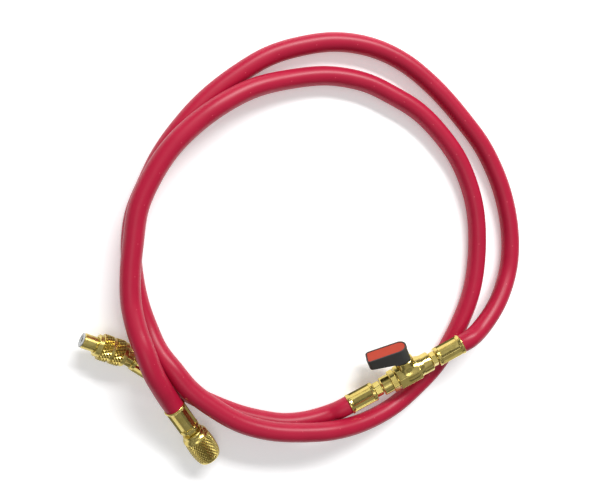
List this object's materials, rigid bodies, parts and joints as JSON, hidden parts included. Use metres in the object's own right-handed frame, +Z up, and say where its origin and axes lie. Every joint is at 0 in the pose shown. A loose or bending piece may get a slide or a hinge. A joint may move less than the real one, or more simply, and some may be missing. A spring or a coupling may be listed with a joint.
{
  "type": "refrigerant charging hose",
  "caption": "Rubber charging hose laid in loose loops, with crimped brass ferrules, a knurled swivel nut, an inline ball valve with a lever, and a whip hose with an angled coupler.",
  "frame": {"origin": "on the floor, at the bottom centre of the box around the brass fittings and lever, without the two hoses", "axes": "+Z up from the floor it lies on, +X the long way across the fittings, from the angled coupler to the valve"},
  "size_m": [0.2913, 0.266, 0.0318],
  "materials": {
    "hose_rubber": "satin extruded rubber cover, red",
    "brass": "bright machined brass",
    "seal_rubber": "matte grey-white seal rubber",
    "seat_plastic": "white low-friction plastic",
    "lever_plastic": "fine satin black moulding",
    "insert_plastic": "satin orange-red moulding"
  },
  "bodies": {
    "hose": {"main_hose": "hose_rubber", "whip_hose": "hose_rubber", "end_ferrule": "brass", "end_stem": "brass", "end_seal": "seal_rubber", "elbow_ferrule": "brass", "elbow_stem": "brass", "coupler_seal": "seal_rubber", "whip_valve_ferrule": "brass", "whip_valve_stem": "brass", "main_valve_ferrule": "brass", "main_valve_stem": "brass", "valve_body": "brass", "valve_tailpiece": "brass", "valve_seat_main": "seat_plastic", "valve_seat_whip": "seat_plastic"},
    "nut": {"end_nut": "brass"},
    "sleeve": {"coupler_sleeve": "brass"},
    "lever": {"lever_handle": "lever_plastic", "lever_insert": "insert_plastic", "valve_stem": "brass", "valve_ball": "brass"}
  },
  "joints": [
    {"name": "lever_turn", "type": "hinge", "parent": "hose", "child": "lever", "pos_m": [0.0837, 0.0061, 0.016], "axis": [-0.4657, 0.8416, 0.2735], "range_deg": [0, 90]},
    {"name": "nut_swivel", "type": "hinge", "parent": "hose", "child": "nut", "pos_m": [-0.0459, -0.03945, 0.0071], "axis": [0.5056, -0.8251, -0.2521], "continuous": true},
    {"name": "sleeve_swivel", "type": "hinge", "parent": "hose", "child": "sleeve", "pos_m": [-0.09378, 0.0269, 0.00728], "axis": [-0.8852, 0.4203, 0.1994], "continuous": true}
  ]
}
